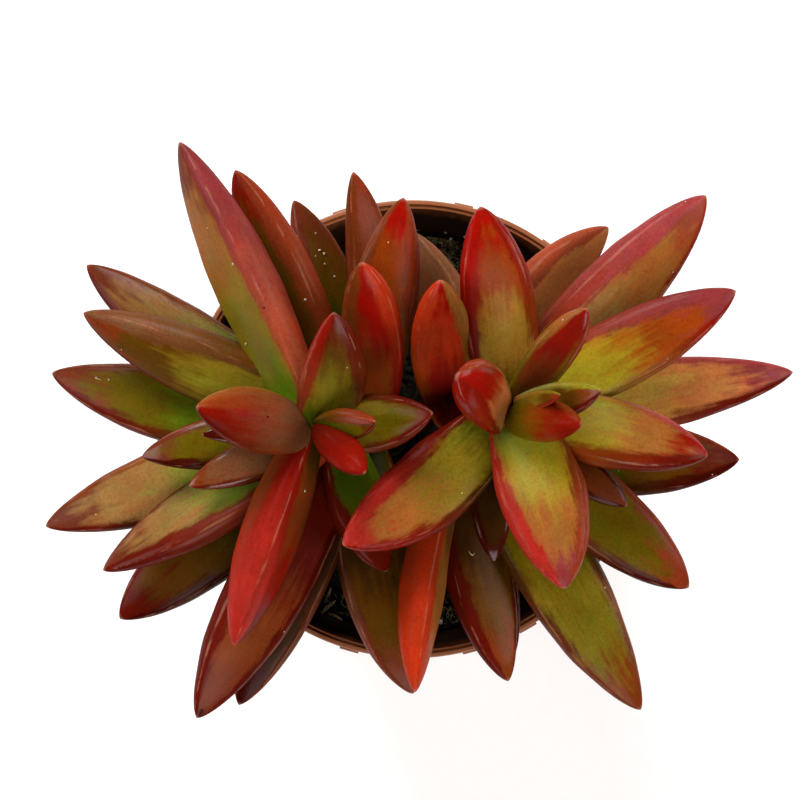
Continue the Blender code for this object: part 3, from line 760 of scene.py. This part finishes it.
def add_leaf(bm, layers, number, stem, shape, look):
    """Add one leaf to a mesh: closed rings from its rounded root to its tip."""
    colours = [linear(TONES[tone]) for tone in look.tones]
    rings = []
    for ring in range(LEAF_RINGS + 1):
        along = 0.5 - 0.5 * math.cos(math.pi * ring / LEAF_RINGS)
        centre, across, up, length = leaf_frame(stem, shape, along)
        half = shape.width / 2 * MM * outline(shape, along)
        row = []
        for side in range(LEAF_SIDES if 0 < ring < LEAF_RINGS else 1):
            around = 2 * math.pi * side / LEAF_SIDES
            x = math.cos(around)
            z = depth(shape, along, around)
            place = Vector((along * length, x * half, z * half + LEAF_SPACING * number)) / MM
            swell = 1 + UNEVEN * noise.noise(place / UNEVEN_SIZE)
            point = bm.verts.new(centre + (across * x + up * z) * half * swell)
            values = (along, x, -math.sin(around), look.gloss, place, Vector((*look.margins, 0)), *colours)
            for layer, value in zip(layers, values):
                point[layer] = value
            row.append(point)
        rings.append(row)
    bridge(bm, rings, LEAF_SIDES)


def foliage_mesh(stem, leaves, looks):
    """All of a shoot's leaves in one mesh."""
    bm = bmesh.new()
    kinds = ((NUMBER_NAMES, bm.verts.layers.float), (VECTOR_NAMES, bm.verts.layers.float_vector),
             (TONE_NAMES, bm.verts.layers.float_color))
    for names, kind in kinds:
        for key in names:
            kind.new(key)
    layers = [kind[key] for names, kind in kinds for key in names]
    for number, (shape, look) in enumerate(zip(leaves, looks, strict=True)):
        add_leaf(bm, layers, number, stem, shape, look)
    return finished(bm)


def add_tube(bm, centres, radii, sides):
    """Add a round tube along a line of centres, closed at both ends."""
    across = (centres[1] - centres[0]).orthogonal()
    rows = []
    for i, (centre, radius) in enumerate(zip(centres, radii)):
        run = (centres[min(i + 1, len(centres) - 1)] - centres[max(i - 1, 0)]).normalized()
        across = (across - run * across.dot(run)).normalized()
        up = run.cross(across)
        row = []
        for side in range(sides):
            around = 2 * math.pi * side / sides
            row.append(bm.verts.new(centre + (across * math.cos(around) + up * math.sin(around)) * radius))
        rows.append(row)
    close_bar(bm, rows)


def stem_mesh(stem):
    """A stem: a tapered tube along its leaning centre line, knobbly where old leaves have dropped."""
    bottom = SOIL_TOP - STEM_DEPTH
    end = stem.top_height - BUD_HEIGHT
    centres = []
    radii = []
    for ring in range(STEM_RINGS + 1):
        share = ring / STEM_RINGS
        centres.append(stem_centre(stem, bottom + (end - bottom) * share))
        radii.append(STEM_RADIUS + (STEM_TOP_RADIUS - STEM_RADIUS) * share)
    bm = bmesh.new()
    add_tube(bm, centres, radii, STEM_SIDES)
    for vertex in bm.verts:
        if vertex.co.z > SOIL_TOP:
            axis = stem_centre(stem, vertex.co.z)
            way = (vertex.co - axis).normalized()
            scars = SCAR_RISE * math.sin(vertex.co.z / SCAR_WAVE + 2 * math.atan2(way.y, way.x))
            vertex.co += way * (scars + KNOB_RISE * noise.noise(vertex.co / KNOB_SIZE))
    return finished(bm)


def inner_radius(height):
    """Radius of the pot's inner wall at a height above its floor."""
    share = (height - FLOOR) / (POT_HEIGHT - FLOOR)
    bottom = BASE_RADIUS - WALL
    top = RIM_RADIUS - LIP_WIDTH - LIP_STEP
    return bottom + (top - bottom) * share


def rounded(profile, rounds):
    """A profile whose corners are rounded: rounds gives each corner's radius."""
    points = []
    for i, (corner, radius) in enumerate(zip(profile, rounds)):
        if not radius:
            points.append(corner)
            continue
        corner = Vector(corner)
        before = (Vector(profile[i - 1]) - corner).normalized() * radius
        after = (Vector(profile[i + 1]) - corner).normalized() * radius
        for step in range(CORNER_STEPS + 1):
            t = step / CORNER_STEPS
            points.append(tuple(corner + before * (1 - t) ** 2 + after * t * t))
    return points


def turned(name, profile, steps):
    """Turn a profile of (radius, height) points round the Z axis into a closed object."""
    bm = bmesh.new()
    rows = []
    for radius, height in profile:
        turns = [2 * math.pi * i / steps for i in range(steps if radius > 0 else 1)]
        rows.append([bm.verts.new((radius * math.cos(a), radius * math.sin(a), height)) for a in turns])
    bridge(bm, rows, steps)
    return new_object(name, finished(bm))


def combined(obj, others, operation):
    """The mesh of an object joined to or cut by others. All of them are removed."""
    group = bpy.data.collections.new("tools")
    for other in others:
        group.objects.link(other)
    modifier = obj.modifiers.new("Combine", "BOOLEAN")
    modifier.operation = operation
    modifier.operand_type = "COLLECTION"
    modifier.collection = group
    modifier.solver = "MANIFOLD"
    bpy.context.view_layer.update()
    evaluated = obj.evaluated_get(bpy.context.evaluated_depsgraph_get())
    mesh = bpy.data.meshes.new_from_object(evaluated)
    for used in (obj, *others):
        bpy.data.objects.remove(used)
    bpy.data.collections.remove(group)
    return mesh


def cylinder(radius, bottom, top, place):
    """An upright cylinder that cuts a hole."""
    bm = bmesh.new()
    bmesh.ops.create_cone(bm, cap_ends=True, segments=HOLE_SIDES, radius1=radius, radius2=radius,
                          depth=top - bottom)
    bmesh.ops.translate(bm, verts=bm.verts, vec=(place[0], place[1], (top + bottom) / 2))
    return new_object("hole", finished(bm))


def lug(angle):
    """A small moulded lug with rounded edges, on the outside of the rim."""
    bm = bmesh.new()
    bmesh.ops.create_cube(bm, size=1)
    bmesh.ops.scale(bm, vec=LUG_SIZE, verts=bm.verts)
    bmesh.ops.bevel(bm, geom=bm.edges, offset=EDGE_ROUND, segments=3, affect="EDGES", profile=0.5)
    obj = new_object("lug", finished(bm))
    turn = math.radians(angle)
    distance = RIM_RADIUS + LUG_PROUD - LUG_SIZE[0] / 2
    obj.location = (distance * math.cos(turn), distance * math.sin(turn), POT_HEIGHT - LUG_DROP)
    obj.rotation_euler = (0, 0, turn)
    return obj


def pot_mesh():
    """The pot: a tapered wall, a collar with a stepped lip, lugs on it and drain holes below."""
    under_collar = POT_HEIGHT - COLLAR_HEIGHT
    lip_inside = RIM_RADIUS - LIP_WIDTH
    profile = [
        (0, FLOOR),
        (BASE_RADIUS - WALL, FLOOR),
        (inner_radius(POT_HEIGHT - LIP_STEP), POT_HEIGHT - LIP_STEP),
        (lip_inside, POT_HEIGHT - LIP_STEP),
        (lip_inside, POT_HEIGHT),
        (RIM_RADIUS, POT_HEIGHT),
        (RIM_RADIUS - COLLAR_TAPER, under_collar),
        (RIM_RADIUS - COLLAR_TAPER - COLLAR_STEP, under_collar - COLLAR_SLOPE),
        (BASE_RADIUS, 0),
        (0, 0),
    ]
    rounds = (0, FLOOR_ROUND, EDGE_ROUND, EDGE_ROUND, EDGE_ROUND, LIP_ROUND, EDGE_ROUND, EDGE_ROUND,
              BASE_CHAMFER, 0)
    body = turned("pot_shell", rounded(profile, rounds), POT_STEPS)
    body = new_object("pot_shell", combined(body, [lug(angle) for angle in LUG_ANGLES], "UNION"))
    drains = []
    for i in range(DRAIN_HOLES):
        turn = 2 * math.pi * i / DRAIN_HOLES
        place = (DRAIN_CIRCLE * math.cos(turn), DRAIN_CIRCLE * math.sin(turn))
        drains.append(cylinder(DRAIN_RADIUS, -FLOOR, 2 * FLOOR, place))
    mesh = combined(body, drains, "DIFFERENCE")
    mesh.shade_smooth()
    mesh.set_sharp_from_angle(angle=math.radians(SHARP_ANGLE))
    return mesh


def crumbly_height(x, y):
    """Height of the soil's surface: broad waves, smaller ones on them, and crumbs over both."""
    broad = math.sin(x / SOIL_WAVE + 0.7) * math.sin(1.2 * y / SOIL_WAVE)
    small = math.sin(1.5 * (x + y) / SOIL_WAVE) * math.sin(0.8 * (x - 2 * y) / SOIL_WAVE + 1.1)
    fine = noise.fractal(Vector((x, y, 0)) / CRUMB_WAVE, CRUMB_FALL, CRUMB_LEAP, CRUMB_OCTAVES)
    return SOIL_TOP + SOIL_RELIEF * (broad + 0.6 * small) + fine * CRUMB_RELIEF


def soil_mesh():
    """The soil: it fills the pot, with a crumbly top and a plain hole for each stem."""
    bottom = FLOOR + GAP
    edge = inner_radius(SOIL_TOP) - GAP
    profile = [(edge * i / SOIL_RINGS, SOIL_TOP) for i in range(SOIL_RINGS + 1)]
    profile.append((inner_radius(bottom) - GAP, bottom))
    profile.append((0, bottom))
    soil = turned("soil_fill", profile, SOIL_STEPS)
    for vertex in soil.data.vertices:
        x, y, z = vertex.co
        if z > SOIL_TOP - GAP:
            vertex.co.z = crumbly_height(x, y)
    holes = []
    for stem in (LEFT_STEM, RIGHT_STEM):
        holes.append(cylinder(STEM_RADIUS + GAP, SOIL_TOP - STEM_DEPTH - GAP, POT_HEIGHT, stem.foot))
    mesh = combined(soil, holes, "DIFFERENCE")
    mesh.shade_smooth()
    return mesh


def ball():
    """The vertices and faces of a small ball, from which lumps are shaped."""
    bm = bmesh.new()
    bmesh.ops.create_icosphere(bm, subdivisions=2, radius=1)
    points = [vertex.co.copy() for vertex in bm.verts]
    faces = [[vertex.index for vertex in face.verts] for face in bm.faces]
    bm.free()
    return points, faces


def add_lump(bm, shape, place, size, rough):
    """Add a lump of uneven shape."""
    points, faces = shape
    stretch = Vector([random.uniform(*LUMP_STRETCH) for _ in range(3)]) * size / 2
    offset = Vector([random.uniform(0, NOISE_REACH) for _ in range(3)])
    made = []
    for point in points:
        swell = 1 + rough * noise.noise(point * LUMP_WAVES + offset)
        made.append(bm.verts.new(place + point * stretch * swell))
    for face in faces:
        bm.faces.new([made[i] for i in face])


def free_place():
    """A random place on the soil, clear of the stems and the wall."""
    edge = inner_radius(SOIL_TOP) - GAP - CLEARANCE
    near = STEM_RADIUS + GAP + CLEARANCE
    while True:
        turn = random.uniform(0, 2 * math.pi)
        distance = edge * math.sqrt(random.random())
        place = Vector((distance * math.cos(turn), distance * math.sin(turn)))
        if all((place - stem.foot).length > near for stem in (LEFT_STEM, RIGHT_STEM)):
            return place


def lumps_mesh(lumps, rough):
    """Lumps of uneven shape in one mesh, from the place and size of each."""
    bm = bmesh.new()
    shape = ball()
    for place, size in lumps:
        add_lump(bm, shape, place, size, rough)
    return finished(bm)


def on_soil(x, y, size, proud):
    """Place and size of a lump whose middle is a share of its size above the soil."""
    return Vector((x, y, crumbly_height(x, y) + size * proud)), size


def crumbs():
    """Loose crumbs of peat over the soil, made one after the other."""
    for _ in range(CRUMBS):
        size = random.uniform(*CRUMB_SIZES) * MM
        x, y = free_place()
        yield on_soil(x, y, size, CRUMB_PROUD)


def on_leaves(places):
    """Places and sizes of lumps on the left shoot's leaves."""
    for number, along, degrees, size in places:
        place, _ = skin_point(LEFT_STEM, LEFT_LEAVES[number], along, degrees)
        yield place, size * MM


def thread(x, y, edge):
    """The centre line of one curled thread lying on the soil, kept within a distance of the pot's axis."""
    heading = random.uniform(0, 2 * math.pi)
    bend = random.uniform(-THREAD_BEND, THREAD_BEND)
    lift = random.uniform(*THREAD_LIFTS)
    stride = random.uniform(*THREAD_STRIDES)
    at = Vector((x + random.gauss(0, MOSS_SPREAD[0]), y + random.gauss(0, MOSS_SPREAD[1]))) * MM
    centres = []
    for i in range(THREAD_POINTS):
        if at.length > edge:
            at *= edge / at.length
        rise = THREAD_HEIGHT + lift * math.sin(math.pi * i / (THREAD_POINTS - 1))
        centres.append(Vector((at.x, at.y, crumbly_height(at.x, at.y) + MM * rise)))
        heading += bend
        at = at + Vector((math.cos(heading), math.sin(heading))) * stride * MM
        edge -= THREAD_INSET
    return centres


def moss_mesh():
    """Curled threads of moss and root on the soil, each thinner towards its end."""
    bm = bmesh.new()
    radii = [THREAD_RADIUS * (1.1 - i / 9) for i in range(THREAD_POINTS)]
    for x, y in MOSS_PLACES:
        for _ in range(MOSS_THREADS):
            add_tube(bm, thread(x, y, inner_radius(SOIL_TOP) - CLEARANCE), radii, THREAD_SIDES)
    return finished(bm)


def chips_mesh():
    """Dry straw-coloured chips of bark and leaf on the soil."""
    bm = bmesh.new()
    for x, y, turn, length in CHIP_PLACES:
        place = Vector((x, y, 0)) * MM
        place.z = crumbly_height(place.x, place.y) + CHIP_LIFT
        turn = math.radians(turn)
        ahead = Vector((math.cos(turn), math.sin(turn), CHIP_SLOPE)) * length * MM
        side = Vector((-ahead.y, ahead.x, 0)).normalized()
        thick = Vector((0, 0, CHIP_THICKNESS))
        rows = []
        for i in range(CHIP_POINTS):
            share = i / (CHIP_POINTS - 1)
            half = CHIP_HALF_WIDTH * math.sin(math.pi * (0.08 + 0.84 * share)) * random.uniform(*CHIP_UNEVEN)
            middle = place + ahead * (share - 0.5) + Vector((0, 0, CHIP_CURL * math.sin(4 * share)))
            corners = (middle + side * half, middle + thick, middle - side * half, middle - thick)
            rows.append([bm.verts.new(corner) for corner in corners])
        close_bar(bm, rows)
    return finished(bm)


def skin_point(stem, shape, along, degrees):
    """A point on the skin of a leaf, and the way out of it."""
    around = math.radians(degrees)
    centre, across, up, _ = leaf_frame(stem, shape, along)
    half = shape.width / 2 * MM * outline(shape, along)
    return centre + (across * math.cos(around) + up * depth(shape, along, around)) * half, up


def fibres_mesh():
    """Fine fibres stuck to the leaves, each bowed towards its leaf's tip."""
    bm = bmesh.new()
    for side, number, start, start_turn, end, end_turn, radius in FIBRE_PLACES:
        stem, leaves, _ = SHOOTS[side]
        centres = []
        for i in range(FIBRE_POINTS):
            share = i / (FIBRE_POINTS - 1)
            along = start + (end - start) * share + FIBRE_BOW * math.sin(math.pi * share)
            turn = start_turn + (end_turn - start_turn) * share
            place, out = skin_point(stem, leaves[number], along, turn)
            centres.append(place + out * radius * FIBRE_PROUD * MM)
        add_tube(bm, centres, [radius * MM] * FIBRE_POINTS, FIBRE_SIDES)
    return finished(bm)


def make_plant():
    """The shoots, the soil with what lies on it, and the pot."""
    random.seed(SEED)
    leaf_skin = waxy_leaf_skin()
    bark = stem_bark()
    for side, (stem, leaves, looks) in SHOOTS.items():
        add_piece(side + "_leaves", foliage_mesh(stem, leaves, looks), leaf_skin, "leaf", side + "_shoot")
        add_piece(side + "_stem", stem_mesh(stem), bark, "leaf", side + "_shoot")
    add_piece("pot_body", pot_mesh(), moulded_polypropylene(), "pot_plastic", "pot")
    peat = potting_soil()
    add_piece("soil_body", soil_mesh(), peat, "potting_soil", "soil")
    add_piece("soil_crumbs", lumps_mesh(crumbs(), rough=0.9), peat, "potting_soil", "soil")
    perlite = small_matter("expanded_perlite", "#b8b0a0", "#eae6dc", 0.3 * MM, 0.9)
    grains = (on_soil(*(Vector(place) * MM), PERLITE_PROUD) for place in PERLITE_PLACES)
    add_piece("perlite_grains", lumps_mesh(grains, rough=0.7), perlite, "potting_soil")
    # Dry moss, its pale tones lightened further with painted light, as the back of the pot lies in shade
    moss = small_matter("dry_moss", "#5a5230", "#a89c70", 0.8 * MM, 0.85)
    add_piece("moss_threads", moss_mesh(), moss, "potting_soil")
    dust = small_matter("pale_dust", "#8a7a5c", "#d8ccb0", 0.3 * MM, 0.9)
    add_piece("leaf_dust", lumps_mesh(on_leaves(DUST_PLACES), rough=0.8), dust, "leaf")
    add_piece("leaf_fibres", fibres_mesh(), dust, "leaf")
    dried = small_matter("dried_leaf_end", "#1c0a06", "#40180e", 0.5 * MM, 0.6)
    add_piece("dried_leaf_ends", lumps_mesh(on_leaves(DRIED_ENDS), rough=0.8), dried, "leaf")
    straw = small_matter("dry_straw", "#7a6a4a", "#b8a888", 0.5 * MM, 0.7)
    add_piece("straw_chips", chips_mesh(), straw, "potting_soil")


def make_stage():
    """The white paper, the soft boxes, the room's light and the camera."""
    bm = bmesh.new()
    bmesh.ops.create_circle(bm, cap_ends=True, segments=96, radius=PAPER_RADIUS)
    floor = new_object("floor", finished(bm))
    floor.data.materials.append(studio_paper())

    for name, place, size, power in LAMPS:
        data = bpy.data.lights.new(name, "AREA")
        data.size = size
        data.energy = power
        lamp = new_object(name, data)
        lamp.location = place
        aim = Vector((0, 0, POT_HEIGHT)) - lamp.location
        lamp.rotation_euler = aim.to_track_quat("-Z", "Y").to_euler()

    # Bright walls and a dark ceiling, so that leaf faces keep their depth of colour
    world = bpy.data.worlds.new("studio")
    world.use_nodes = True
    sky = world.node_tree.nodes["Background"]
    way = add(world, "TexCoord").outputs["Generated"]
    axes = add(world, "SeparateXYZ", {"Vector": way})
    low = add(world, "MapRange", {"Value": axes.outputs["Z"], "From Min": 0.9, "From Max": 0.1,
                                  "To Min": 0.06, "To Max": 0.5}, "SMOOTHSTEP")
    behind = add(world, "MapRange", {"Value": axes.outputs["Y"], "From Min": -1, "From Max": 1,
                                     "To Min": 0.4, "To Max": 1.0})
    strength = add(world, "Math", {0: low, 1: behind}, "MULTIPLY")
    connect(world, sky, {"Strength": strength})
    bpy.context.scene.world = world
    bpy.context.scene.view_settings.view_transform = "Standard"

    data = bpy.data.cameras.new("camera")
    data.lens = LENS
    data.sensor_width = SENSOR_WIDTH
    camera = new_object("camera", data)
    camera.location = CAMERA_PLACE
    camera.rotation_euler = (math.radians(CAMERA_TILT), 0, 0)
    bpy.context.scene.camera = camera


make_plant()
make_stage()
